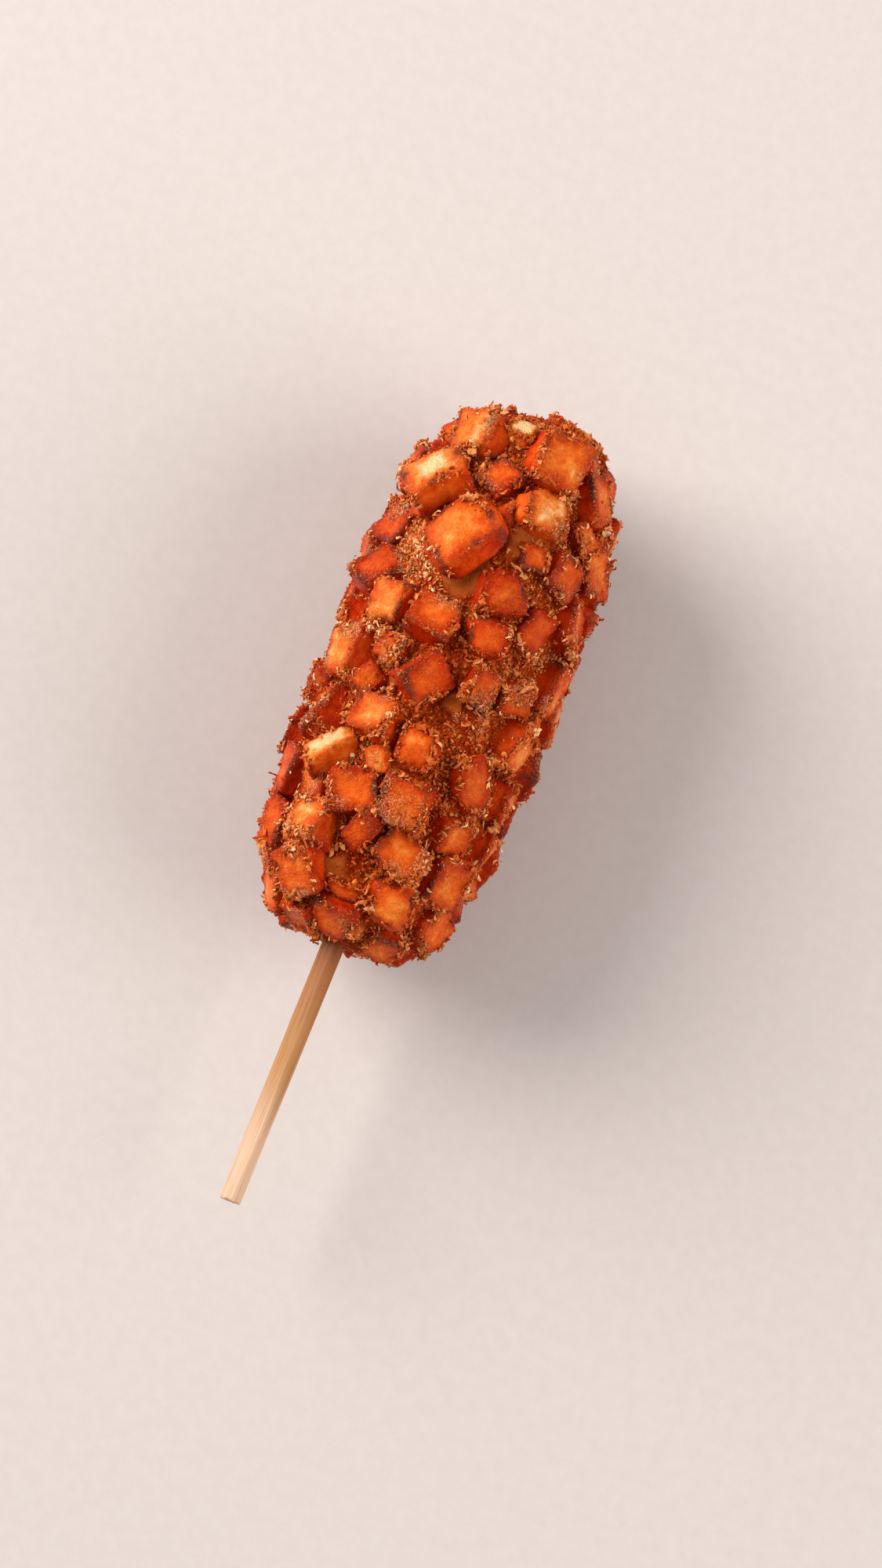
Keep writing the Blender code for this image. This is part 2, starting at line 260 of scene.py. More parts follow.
def makePotatoFinish():
    look, burnt, crumb, relief = potatoLook, potatoLook["burnt"], potatoLook["crumb"], potatoLook["relief"]
    finish, tree, shader = newFinish("friedPotato", **look["glow"], **look["gloss"], **look["oil"])
    broadly, middling, finely = look["fineness"]
    broad = noiseOf(tree, broadly, 3.0, 0.55, 0.5)
    middle = noiseOf(tree, middling, 4.0, 0.6)
    fine = noiseOf(tree, finely, 3.0, 0.6)
    rim, side, crumby = (attributeOf(tree, name) for name in ("rim", "side", "crumby"))
    # each cube has its own tone, is brightest in the middle of a face and redder toward rims, and is darker
    # down its sides, partly its own colour and partly painted shade
    tone = reckon(tree, "MULTIPLY_ADD", broad, look["byBroad"], attributeOf(tree, "tone"))
    tone = reckon(tree, "MULTIPLY_ADD", middle, look["byMiddle"], tone)
    tone = reckon(tree, "MULTIPLY_ADD", rim, look["atRims"], tone)
    tone = reckon(tree, "MULTIPLY_ADD", side, look["downSides"], tone)
    tone = reckon(tree, "SUBTRACT", tone, look["deeper"], clamp=True)
    stops = [(0.0, fried["darkRed"]), (0.16, fried["deepRed"]), (0.34, fried["redOrange"])]
    stops += [(0.56, fried["orange"]), (0.78, fried["golden"]), (1.0, fried["pale"])]
    colour = colourRamp(tree, tone, stops)
    # rims and corners are burnt in soft broken bands
    burning = reckon(tree, "MULTIPLY_ADD", noiseOf(tree, burnt["fineness"], 1.0, 0.5), burnt["broken"], rim)
    burning = reckon(tree, "MULTIPLY_ADD", middle, burnt["ragged"], burning)
    bark = mixColour(tree, rangeOf(tree, fine, *look["bark"]), fried["burnt"], fried["mauve"])
    colour = mixColour(tree, rangeOf(tree, burning, *burnt["edge"], 0.0, burnt["most"]), colour, bark)
    # fine crumb clings all over the outer faces, most where it is crumby
    speck = reckon(tree, "MULTIPLY_ADD", crumby, crumb["whereCrumby"], fine)
    speck = reckon(tree, "MULTIPLY_ADD", side, crumb["downSides"], speck)
    speckled = rangeOf(tree, speck, *crumb["edge"], 0.0, crumb["most"])
    # painted highlights: pale glint specks on the potato, most where it is crumby
    colour = withPaintedGlints(tree, mixColour(tree, speckled, colour, fried["paleCrumb"]), crumby, look["paintedGlints"])
    tree.links.new(colour, shader.inputs["Base Color"])
    tree.links.new(rangeOf(tree, middle, 0.3, 0.7, *look["roughness"]), shader.inputs["Roughness"])
    grainy = reckon(tree, "MULTIPLY_ADD", crumby, relief["whereCrumby"], relief["plain"])
    height = reckon(tree, "MULTIPLY", fine, grainy)
    height = reckon(tree, "MULTIPLY_ADD", middle, relief["byMiddle"], height)
    height = reckon(tree, "MULTIPLY", height, reckon(tree, "MULTIPLY_ADD", side, relief["downSides"], 1.0))
    bumpOf(tree, shader, height, 1.0, relief["depth"])
    return finish


doughLook = {
    "glow": {"Subsurface_Weight": 0.4, "Subsurface_Radius": (1.0, 0.16, 0.03), "Subsurface_Scale": 0.0024},
    "gloss": {"Specular_IOR_Level": 0.12, "Specular_Tint": (1.0, 0.36, 0.08, 1.0)},
    "fineness": (110, 900, 2200),  # of the broad, middle and fine pattern
    "byBroad": 0.6, "byMiddle": 0.9, "shadeInHollows": -0.30, "deeper": 0.22,
    "rough": [
        (0.15, (0.22, 0.014, 0.001)), (0.38, (0.36, 0.028, 0.002)), (0.58, (0.48, 0.060, 0.005)),
        (0.85, (0.62, 0.16, 0.035)),
    ],
    "smooth": [(0.3, (0.25, 0.038, 0.004)), (0.7, (0.42, 0.092, 0.017))],
    "paintedGlints": 0.7,
    "roughness": (0.46, 0.38),  # of the rough dough and of the smooth patches
    "relief": {"byFine": 0.6, "whereSmooth": -0.7, "depth": 1.4 * mm},
}


def makeCrustFinish():
    look, relief = doughLook, doughLook["relief"]
    finish, tree, shader = newFinish("friedDough", **look["glow"], **look["gloss"])
    broadly, middling, finely = look["fineness"]
    broad = noiseOf(tree, broadly, 4.0, 0.6, 0.6)
    middle = noiseOf(tree, middling, 5.0, 0.65)
    fine = noiseOf(tree, finely, 3.0, 0.65)
    smoothness = attributeOf(tree, "smooth")
    byBroad = reckon(tree, "MULTIPLY", broad, look["byBroad"])
    tone = reckon(tree, "MULTIPLY_ADD", middle, look["byMiddle"], byBroad)
    # painted shade: the dough is darker in the listed hollows
    tone = reckon(tree, "MULTIPLY_ADD", attributeOf(tree, "hollow"), look["shadeInHollows"], tone)
    rough = colourRamp(tree, reckon(tree, "SUBTRACT", tone, look["deeper"], clamp=True), look["rough"])
    # painted highlights: pale glint specks on the dough
    rough = withPaintedGlints(tree, rough, middle, look["paintedGlints"])
    colour = mixColour(tree, smoothness, rough, colourRamp(tree, broad, look["smooth"]))
    tree.links.new(colour, shader.inputs["Base Color"])
    tree.links.new(rangeOf(tree, smoothness, 0, 1, *look["roughness"]), shader.inputs["Roughness"])
    height = reckon(tree, "MULTIPLY_ADD", fine, relief["byFine"], middle)
    flatter = reckon(tree, "MULTIPLY_ADD", smoothness, relief["whereSmooth"], 1.0)
    bumpOf(tree, shader, reckon(tree, "MULTIPLY", height, flatter), 1.0, relief["depth"])
    return finish


crumbLook = {
    "glow": {"Subsurface_Weight": 0.2, "Subsurface_Radius": (1.0, 0.35, 0.1), "Subsurface_Scale": 0.0008},
    "gloss": {"Roughness": 0.42, "Specular_IOR_Level": 0.25, "Specular_Tint": (1.0, 0.45, 0.2, 1.0)},
    "oil": {"Coat_Weight": 0.04, "Coat_Roughness": 0.15},
    "fineness": 900, "byPattern": 0.5, "deeper": 0.25, "paintedGlints": 0.8,
}
# each crumb's colour by its own tone
crumbColours = {
    "golden": [
        (0.0, (0.42, 0.050, 0.003)), (0.4, (0.58, 0.125, 0.016)), (0.75, (0.76, 0.29, 0.078)),
        (1.0, (0.93, 0.55, 0.27)),
    ],
    "brown": [
        (0.0, (0.34, 0.022, 0.001)), (0.4, (0.48, 0.048, 0.003)), (0.75, (0.60, 0.095, 0.009)),
        (1.0, (0.66, 0.19, 0.04)),
    ],
    "tan": [
        (0.0, (0.34, 0.034, 0.002)), (0.4, (0.52, 0.105, 0.016)), (0.75, (0.74, 0.28, 0.090)),
        (1.0, (0.92, 0.55, 0.28)),
    ],
}


def makeCrumbFinish(name, stops):
    look = crumbLook
    finish, tree, shader = newFinish(name, **look["glow"], **look["gloss"], **look["oil"])
    own = attributeOf(tree, "tone")
    tone = reckon(tree, "MULTIPLY_ADD", noiseOf(tree, look["fineness"], 3.0, 0.6), look["byPattern"], own)
    colour = colourRamp(tree, reckon(tree, "SUBTRACT", tone, look["deeper"], clamp=True), stops)
    # painted highlights: pale glint specks on each crumb, more on the paler ones
    tree.links.new(withPaintedGlints(tree, colour, own, look["paintedGlints"]), shader.inputs["Base Color"])
    return finish


bambooLook = {
    "gloss": {"Roughness": 0.5, "Specular_IOR_Level": 0.25},
    "grain": (2600, (1.0, 0.012, 1.0)),  # how fine, and how far drawn out along the stick
    "streaks": (800, (1.0, 0.02, 1.0)),
    # pale at the free end, browned by the frying oil toward the body
    "oiled": [(0.0, (0.64, 0.42, 0.28)), (0.5, (0.42, 0.195, 0.060)), (1.0, (0.31, 0.088, 0.012))],
    "lines": [(0.36, (0.56, 0.44, 0.34)), (0.47, (0.88, 0.84, 0.80)), (0.60, (1.0, 1.0, 1.0))],
    "relief": 0.6, "depth": 0.3 * mm,
}


def makeStickFinish():
    look = bambooLook
    finish, tree, shader = newFinish("bamboo", **look["gloss"])
    grain = noiseOf(tree, look["grain"][0], 4.0, 0.65, 0.0, stretch=look["grain"][1])
    streaks = noiseOf(tree, look["streaks"][0], 3.0, 0.55, 0.1, stretch=look["streaks"][1])
    shade = reckon(tree, "MULTIPLY_ADD", streaks, 0.5, reckon(tree, "MULTIPLY", grain, 0.5))
    wood = colourRamp(tree, attributeOf(tree, "oiled"), look["oiled"])
    lines = colourRamp(tree, shade, look["lines"])
    tree.links.new(mixColour(tree, 1.0, wood, lines, "MULTIPLY"), shader.inputs["Base Color"])
    bumpOf(tree, shader, shade, look["relief"], look["depth"])
    return finish


cubeLook = {
    "cuts": 23,
    "roundness": (7.0, 14.0),  # the exponent of the rounded box, from the roundest cube to the squarest
    "swell": (1.07, 1.07, 1.05),  # beyond the solid
    "lean": math.radians(11),  # how far a cube leans any way
    "chops": 2,  # corners that the knife took off
    "chopUp": (-0.2, 0.9),
    "chopReach": (0.80, 0.97),  # how much of the way to the corner is left
    "warp": 0.95 * mm, "warpSize": 8 * mm,
    "cake": 0.55 * mm, "cakeSize": 7 * mm, "cakeGrain": 1.1 * mm,  # crumb caked on in patches
    "cakeEdge": (0.05, 0.7),
    "chips": 0.45 * mm, "chipSize": 1.7 * mm,
    "chipsAll": 0.25, "chipsAtRims": 0.75,
    "grain": 0.10 * mm, "grainSize": 0.55 * mm,
    "rimFrom": 0.3,  # how far from a face's middle its rim begins
    "sideFrom": (0.95, 0.35),  # how high up a cube its sides begin and are in full
    "crumbOnCake": 0.7, "crumbOnRims": 0.3, "crumbOnClean": 0.25,
}


def paintPotato(mesh, marks):
    paint(mesh, **{name: marks[name] for name in ("tone", "rim", "side", "crumby")})


def unitCube(cuts):
    bm = bmesh.new()
    bmesh.ops.create_cube(bm, size=2.0)
    bmesh.ops.subdivide_edges(bm, edges=bm.edges[:], cuts=cuts, use_grid_fill=True)
    return meshFrom(bm, "unitCube")


def joinCopies(name, unitMesh, shapes):
    # one mesh of as many unit cubes, each with its own points
    bm = bmesh.new()
    for points in shapes:
        copy = unitMesh.copy()
        writePoints(copy, points)
        bm.from_mesh(copy)
        bpy.data.meshes.remove(copy)
    bpy.data.meshes.remove(unitMesh)
    return meshFrom(bm, name)


def cubeFrame(node):
    # a cube's middle, half sizes and three directions, from the flat faces of its own solid
    bm = bmesh.new()
    bm.from_mesh(nodes[node].data)
    bmesh.ops.remove_doubles(bm, verts=bm.verts[:], dist=0.01 * mm)
    bmesh.ops.dissolve_limit(bm, angle_limit=math.radians(2), verts=bm.verts[:], edges=bm.edges[:])
    points = np.array([v.co for v in bm.verts])
    middle = points.mean(axis=0)
    along = np.clip(middle[1] - body["middle"], -50 * mm, 50 * mm)  # beyond it a cube faces an end
    outward = middle - np.array((axisX, body["middle"] + along, axisZ))
    outward /= np.linalg.norm(outward)
    faces = sorted(bm.faces, key=lambda f: -f.calc_area())[:6]
    top = max(faces, key=lambda f: f.normal.dot(Vector(outward)))
    up = np.array(top.normal)
    edge = max(top.edges, key=lambda e: e.calc_length())
    side = np.array((edge.verts[1].co - edge.verts[0].co).normalized())
    side -= up * side.dot(up)
    side /= np.linalg.norm(side)
    bm.free()
    axes = np.array((side, np.cross(up, side), up))
    local = (points - middle) @ axes.T
    low, high = local.min(axis=0), local.max(axis=0)
    return {"axes": axes, "middle": middle + (low + high) / 2 @ axes, "half": (high - low) / 2}


def shapeCube(unit, place, number, chance, roundness=None):
    # a rounded, warped and chipped cube, and for each of its points how near it is to a rim, how far down
    # a side, how crumby and how high up
    look = cubeLook
    roundness = roundness or chance.uniform(*look["roundness"])
    bulge = (np.abs(unit) ** roundness).sum(axis=1) ** (1 / roundness)
    local = unit / bulge[:, None]
    for _ in range(look["chops"]):
        cut = np.array([chance.uniform(-1, 1), chance.uniform(-1, 1), chance.uniform(*look["chopUp"])])
        cut /= np.linalg.norm(cut)
        reach = chance.uniform(*look["chopReach"]) * (local @ cut).max()
        local = local - np.outer(np.maximum(local @ cut - reach, 0), cut)
    lean = [chance.uniform(-1, 1) * look["lean"] for _ in range(2)]
    axes = np.array(Euler((*lean, 0)).to_matrix()) @ place["axes"]
    points = place["middle"] + (local * place["half"] * look["swell"]) @ axes
    outward = local @ axes
    outward /= np.linalg.norm(outward, axis=1)[:, None]
    second = np.sort(np.abs(unit), axis=1)[:, 1]
    rim = smoothStep(look["rimFrom"], 1.0, second)
    warp = np.stack([cellNoise(points, look["warpSize"], 3 * number + k) for k in range(3)], axis=1)
    points = points + warp * look["warp"]
    chips = layeredNoise(points, look["chipSize"], 400 + number, 3, 0.6)
    caked = smoothStep(*look["cakeEdge"], layeredNoise(points, look["cakeSize"], 90, 2))
    chipped = look["chipsAll"] + look["chipsAtRims"] * np.maximum(rim, caked)
    points += outward * (chips * chipped * look["chips"])[:, None]
    cake = np.abs(layeredNoise(points, look["cakeGrain"], 710, 2)) * caked
    points += outward * (cake * look["cake"])[:, None]
    points += outward * (layeredNoise(points, look["grainSize"], 700, 2) * look["grain"])[:, None]
    # how far down a side, which the potato finish darkens partly as painted shade
    side = smoothStep(*look["sideFrom"], unit[:, 2])
    crumby = caked * look["crumbOnCake"] + rim * look["crumbOnRims"]
    return points, {"rim": rim, "side": side, "crumby": crumby, "height": unit[:, 2]}


# how brown or pale each cube of the shown side is: 0 deep red, 0.5 orange and 1 pale; each tone is partly
# the cube's own frying and partly painted light, the paler tones standing in for the key light on a cube's
# lit faces
cubeTones = {
    1: 0.60, 2: 0.74, 3: 0.98, 4: 0.48, 5: 0.34, 6: 0.72, 7: 0.83, 8: 0.58, 9: 0.22, 10: 0.48,
    11: 0.40, 12: 0.36, 13: 0.31, 14: 0.45, 15: 0.28, 16: 0.26, 17: 0.72, 18: 0.45, 19: 0.38, 20: 0.46,
    21: 0.42, 22: 0.35, 23: 0.40, 24: 0.66, 25: 0.31, 26: 0.50, 27: 0.62, 28: 0.47, 29: 0.60, 30: 0.45,
    31: 0.30, 32: 0.92, 33: 0.41, 34: 0.52, 35: 0.47, 36: 0.38, 37: 0.36, 38: 0.44, 39: 0.48, 40: 0.66,
    41: 0.49, 42: 0.48, 43: 0.34, 44: 0.30, 45: 0.60, 46: 0.50, 47: 0.46, 48: 0.34, 49: 0.58, 50: 0.44,
}
otherTones = (0.35, 0.6)
# cubes that stand well askew: how far across and along the body their tops turn, in degrees
askew = {
    1: (-12, -12), 2: (-6, -14), 7: (0, 4), 8: (-14, 8), 9: (16, 4), 13: (4, -6), 16: (14, 12),
    17: (-12, -6), 18: (6, 8), 19: (-3, 8), 24: (-12, 6), 25: (4, 8), 29: (-4, 14), 30: (-5, -5),
    31: (-10, 10), 32: (-10, 22), 34: (14, 4), 36: (8, 8), 39: (14, -6), 40: (-8, 14), 44: (8, -10),
    45: (-14, 12), 46: (-18, 4), 49: (-8, 5),
}
raised = {7: 2.2 * mm, 8: 1.0 * mm, 32: 0.8 * mm, 53: -1.5 * mm}  # cubes that stand prouder or lower
# cubes cut smaller or larger than their solids: across, along and up
trimmed = {
    7: (0.95, 1.05, 1.0), 18: (0.95, 0.95, 1.0), 25: (0.88, 0.86, 1.0), 30: (0.9, 0.86, 1.0),
    32: (0.95, 0.66, 1.0), 53: (0.75, 0.75, 0.8),
}
cleanCubes = {8, 13, 15, 19, 25, 30, 32, 33, 45}  # cubes with little crumb on them
roundCubes = {3: 3.6, 6: 3.0, 8: 3.2, 13: 3.0, 19: 2.9, 30: 3.1, 33: 3.4, 45: 2.8}


def makeCubes(finish):
    unitMesh = unitCube(cubeLook["cuts"])
    unit = readVectors(unitMesh.vertices, "co")
    chance = random.Random(11)
    made = []
    for name in sorted(n for n in nodes if n.startswith("potato_cube_")):
        number = int(name[-2:])
        place = cubeFrame(name)
        across, along = (math.radians(angle) for angle in askew.get(number, (0, 0)))
        place["axes"] = place["axes"] @ np.array(Euler((-along, across, 0)).to_matrix()).T
        place["half"] = place["half"] * trimmed.get(number, (1, 1, 1))
        place["middle"] = place["middle"] + place["axes"][2] * raised.get(number, 0)
        points, marks = shapeCube(unit, place, number, chance, roundCubes.get(number))
        if number in cleanCubes:
            marks["crumby"] = marks["crumby"] * cubeLook["crumbOnClean"]
        mesh = unitMesh.copy()
        mesh.name = f"potato{number:02d}"
        writePoints(mesh, points)
        tone = cubeTones.get(number, chance.uniform(*otherTones))
        marks["tone"] = np.full(len(points), tone)
        paintPotato(mesh, marks)
        keepPiece(f"potato{number:02d}", mesh, finish, "potato", name)
        made.append({**place, **marks, "mesh": mesh})
    bpy.data.meshes.remove(unitMesh)
    return made


# the cubes of the side turned away stand in the same staggered rows as in the solid
hidden = {
    "pitch": 13.4 * mm, "rowsEachWay": 5, "size": 11.0 * mm, "arc": (80.0, 280.0), "spacing": 13.2 * mm,
    "clearance": 9.6 * mm, "seed": 7, "depth": 8.6 * mm, "rise": 5.0 * mm, "endRise": 3.0 * mm, "tilt": 9.0,
    "sizes": (0.9, 1.1), "rises": (0.95, 1.15), "stray": 3.0, "twist": 45.0,
    "cuts": 11, "tones": (0.3, 0.62),
}


def bodyRadius(along):
    share = min(abs(along) / body["halfLength"], 1.0)
    return body["radius"] * (1 - share ** body["blunt"]) ** (1 / body["blunt"])


def seatOf(along, around):
    radius = bodyRadius(along)
    slope = body["blunt"] - 1
    out = (radius / body["radius"]) ** slope / body["radius"]
    forward = math.copysign((abs(along) / body["halfLength"]) ** slope, along) / body["halfLength"]
    spoke = Vector((math.sin(around), 0, math.cos(around)))
    normal = (spoke * out + Vector((0, forward, 0))).normalized()
    return spoke * radius + Vector((axisX, body["middle"] + along, axisZ)), normal


def hiddenFrames(shown):
    chance = random.Random(hidden["seed"])
    first, last = (math.radians(a) for a in hidden["arc"])
    for row in range(-hidden["rowsEachWay"], hidden["rowsEachWay"] + 1):
        along = row * hidden["pitch"]
        stands = hidden["endRise"] if abs(row) == hidden["rowsEachWay"] else hidden["rise"]
        count = max(2, round((last - first) * bodyRadius(along) / hidden["spacing"]) + 1 - row % 2)
        step = (last - first) / (count - 0.5)
        for spot in range(count):
            around = first + step * (spot + 0.25 + 0.25 * (row % 2))
            seat = along + chance.uniform(-1, 1) * mm
            stray = math.radians(chance.uniform(-hidden["stray"], hidden["stray"]))
            point, normal = seatOf(seat, around + stray)
            width, length = (hidden["size"] * chance.uniform(*hidden["sizes"]) for _ in range(2))
            twist = math.radians(chance.uniform(-hidden["twist"], hidden["twist"]))
            rise = stands * chance.uniform(*hidden["rises"])
            leaning = random.Random(100 * hidden["seed"] + 10 * row + spot)
            tilt = [math.radians(leaning.uniform(-hidden["tilt"], hidden["tilt"])) for _ in range(2)]
            side = Vector((0, 1, 0)).cross(normal).normalized()
            turned = Matrix((side, normal.cross(side), normal)).transposed()
            turned = turned @ Euler((*tilt, -twist)).to_matrix()
            middle = np.array(point + normal * (rise - hidden["depth"] / 2))
            if min(np.linalg.norm(middle - cube["middle"]) for cube in shown) < hidden["clearance"]:
                continue
            half = np.array((width, length, hidden["depth"])) / 2
            yield {"axes": np.array(turned.transposed()), "middle": middle, "half": half}


def gatherMarks(marks):
    # the marks of many pieces, in one row for each mark
    return {name: np.concatenate([given[name] for given in marks]) for name in marks[0]}


def makeHiddenCubes(shown, finish):
    unitMesh = unitCube(hidden["cuts"])
    unit = readVectors(unitMesh.vertices, "co")
    chance = random.Random(23)
    made, shapes, marks = [], [], []
    for number, place in enumerate(hiddenFrames(shown)):
        points, own = shapeCube(unit, place, 100 + number, chance)
        liftOffFloor(points)
        own["tone"] = np.full(len(points), chance.uniform(*hidden["tones"]))
        shapes.append(points)
        marks.append(own)
        made.append(place)
    mesh = joinCopies("potatoTurnedAway", unitMesh, shapes)
    marks = gatherMarks(marks)
    paintPotato(mesh, marks)
    keepPiece("potatoTurnedAway", mesh, finish, "potato")
    return made, {**marks, "mesh": mesh}


# smooth patches of bare dough on the shown side: along the body from its middle, across it and radius, mm
barePatches = [(23, -3, 7), (37, 7, 6.5), (-6, -8, 4), (-58, -7, 5), (-8, 5, 3), (-28, -2, 3)]
# hollows with painted shade, where the dough is darker and the pale crumbs are kept out, given in the same
# way
hollows = [
    (-9, 9, 7), (-26, -3, 6), (-53, -5, 7), (8, -1, 5), (-15, 14, 6), (-38, 12, 5), (44, 22, 5), (7, 1, 5),
    (21, 13, 4), (-63, 3, 6), (-43, -4, 6), (51, 1, 5), (31, 18, 4), (-28, 12, 5),
]
# heaps of fine crumb
crumbHeaps = [
    (29, -24, 9), (23, -16, 7), (35, -27, 6), (57, 2, 6), (56, 14, 5), (-35, -17, 4), (12, 24, 5),
    (58, 24, 5), (-47, -20, 6), (2, -22, 4), (-20, -24, 4),
]

# smaller pieces of potato, sunk between the cubes at all angles
sunk = {
    "tries": 900, "along": (-0.93, 0.96), "around": 1.9, "fromCubes": 9.2 * mm, "fromEachOther": 8.0 * mm,
    "half": (2.4, 4.2), "proud": 1.2 * mm, "depths": 1.6 * mm,
    "deeperAtTip": 3.0 * mm, "tipFrom": (0.86, 0.93),
    "clear": 0.9,  # how much of a patch or heap is kept free of them
    "cuts": 9, "tones": (0.25, 0.6), "sides": (2.5 * mm, 0.5 * mm), "crumbSize": 6 * mm,
}


def makeSunkPieces(cubes, finish):
    unitMesh = unitCube(sunk["cuts"])
    unit = readVectors(unitMesh.vertices, "co")
    chance = random.Random(31)
    made, shapes, marks = [], [], []
    for _ in range(sunk["tries"]):
        along = chance.uniform(*sunk["along"]) * body["halfLength"]
        point, normal = seatOf(along, chance.uniform(-sunk["around"], sunk["around"]))
        deeper = sunk["deeperAtTip"] * smoothStep(*sunk["tipFrom"], along / body["halfLength"])
        middle = np.array(point + normal * (sunk["proud"] - sunk["depths"] * chance.random() - deeper))
        spot = np.array((middle[1] - body["middle"], middle[0] - axisX)) / mm
        clear = [math.dist(spot, (y, x)) > sunk["clear"] * size for y, x, size in barePatches + crumbHeaps]
        if point.z > axisZ and not all(clear):
            continue
        if min(np.linalg.norm(middle - cube["middle"]) for cube in cubes) < sunk["fromCubes"]:
            continue
        if any(np.linalg.norm(middle - other["middle"]) < sunk["fromEachOther"] for other in made):
            continue
        turn = Euler([chance.uniform(0, math.tau) for _ in range(3)]).to_matrix()
        half = np.array([chance.uniform(*sunk["half"]) * mm for _ in range(3)])
        place = {"axes": np.array(turn), "middle": middle, "half": half}
        points, own = shapeCube(unit, place, 300 + len(made), chance)
        own["tone"] = np.full(len(points), chance.uniform(*sunk["tones"]))
        own["height"] = (points - middle) @ np.array(normal)
        shapes.append(points)
        marks.append(own)
        made.append(place)
    mesh = joinCopies("potatoSunk", unitMesh, shapes)
    marks = gatherMarks(marks)
    patches = layeredNoise(readVectors(mesh.vertices, "co"), sunk["crumbSize"], 95, 2)
    marks["crumby"] = 0.2 + 0.6 * smoothStep(0.0, 0.7, patches)
    # a sunk piece's lower part counts as its side, which the potato finish darkens partly as painted shade
    marks["side"] = smoothStep(*sunk["sides"], marks["height"])
    paintPotato(mesh, marks)
    keepPiece("potatoSunk", mesh, finish, "potato")
    marks["crumby"] = marks["crumby"] + 0.3  # crumbs like them better than the cubes
    marks["height"] = marks["height"] / (2 * mm)
    return len(made), {**marks, "mesh": mesh}


# the dough between the cubes
crust = {
    "round": 300, "rings": 290,
    "lift": 0.3 * mm,  # how far it stands over the solid between the cubes
    "bareLift": 1.4 * mm,  # and how much more at the bare patches
    "climb": 1.5 * mm,  # how far it climbs a cube's sides
    "reach": 1.3 * mm,
    "lumps": 0.9 * mm, "lumpSize": 7 * mm,
    "rough": 0.55 * mm, "roughSize": 1.8 * mm, "bareRough": 0.85,
    "bareCore": 0.6, "hollowCore": 0.4, "heapCore": 0.5,  # how much of a spot is in full
    "edgeSize": 5 * mm, "edge": 1.5,  # how ragged a spot's edge is, in mm
    "near": 16 * mm,  # how far from a cube's middle it is felt
    "within": 0.6 * mm,  # how deep in a cube a point is no ground for crumbs
}


def crustProfile():
    # the body's outline from butt to tip: how far along, how far from the axis and the share of its length
    turn = np.linspace(-math.pi / 2, math.pi / 2, 4001)
    power = 2 / body["blunt"]
    along = np.sign(np.sin(turn)) * np.abs(np.sin(turn)) ** power * body["halfLength"]
    radius = np.abs(np.cos(turn)) ** power * body["radius"]
    length = np.concatenate(([0], np.cumsum(np.hypot(np.diff(along), np.diff(radius)))))
    return along, radius, length / length[-1]


def nearCubes(points, cubes):
    # how close each point is to a cube's side, 1 against it and 0 out of reach, and whether it is in one
    close = np.zeros(len(points))
    inside = np.zeros(len(points), dtype=bool)
    for cube in cubes:
        away = points - cube["middle"]
        near = np.nonzero((away**2).sum(axis=1) < crust["near"] ** 2)[0]
        local = np.abs(away[near] @ cube["axes"].T) - cube["half"]
        gap = np.maximum(local[:, 0], local[:, 1])
        close[near] = np.maximum(close[near], np.exp(-np.maximum(gap, 0) / crust["reach"]))
        inside[near] |= (gap < -crust["within"]) & (local[:, 2] < -crust["within"])
    return close, inside


def spotted(points, spots, core):
    # 1 within the core of a spot on the shown side and 0 outside its ragged edge
    share = np.zeros(len(points))
    ragged = layeredNoise(points, crust["edgeSize"], 61, 2) * crust["edge"] * mm
    for y, x, size in spots:
        spot = np.array((axisX + x * mm, body["middle"] + y * mm))
        apart = (np.linalg.norm(points[:, :2] - spot, axis=1) + ragged) / (size * mm)
        share = np.maximum(share, smoothStep(1.0, core, apart) * (points[:, 2] > axisZ))
    return share


def bodySurface(ball):
    # each point of a unit ball carried to the body's own surface, with the normal and the radius there
    along, radius, share = crustProfile()
    place = 0.5 + np.arcsin(np.clip(ball[:, 2], -1, 1)) / math.pi
    ringAlong = np.interp(place, share, along)
    ringRadius = np.interp(place, share, radius)
    ringRadius[np.abs(ball[:, 2]) > 0.99999] = 0  # the two ends are closed
    flat = np.maximum(np.hypot(ball[:, 0], ball[:, 1]), 1e-9)
    spoke = np.stack((-ball[:, 0] / flat, np.zeros(len(ball)), ball[:, 1] / flat), axis=1)
    centre = np.array((axisX, body["middle"], axisZ))
    points = centre + spoke * ringRadius[:, None] + np.outer(ringAlong, (0, 1, 0))
    slope = body["blunt"] - 1
    normal = spoke * ((ringRadius / body["radius"]) ** slope / body["radius"])[:, None]
    length = np.clip(np.abs(ringAlong) / body["halfLength"], 0, 1)
    normal += np.outer(np.sign(ringAlong) * length**slope / body["halfLength"], (0, 1, 0))
    normal /= np.linalg.norm(normal, axis=1)[:, None]
    return points, normal, ringRadius


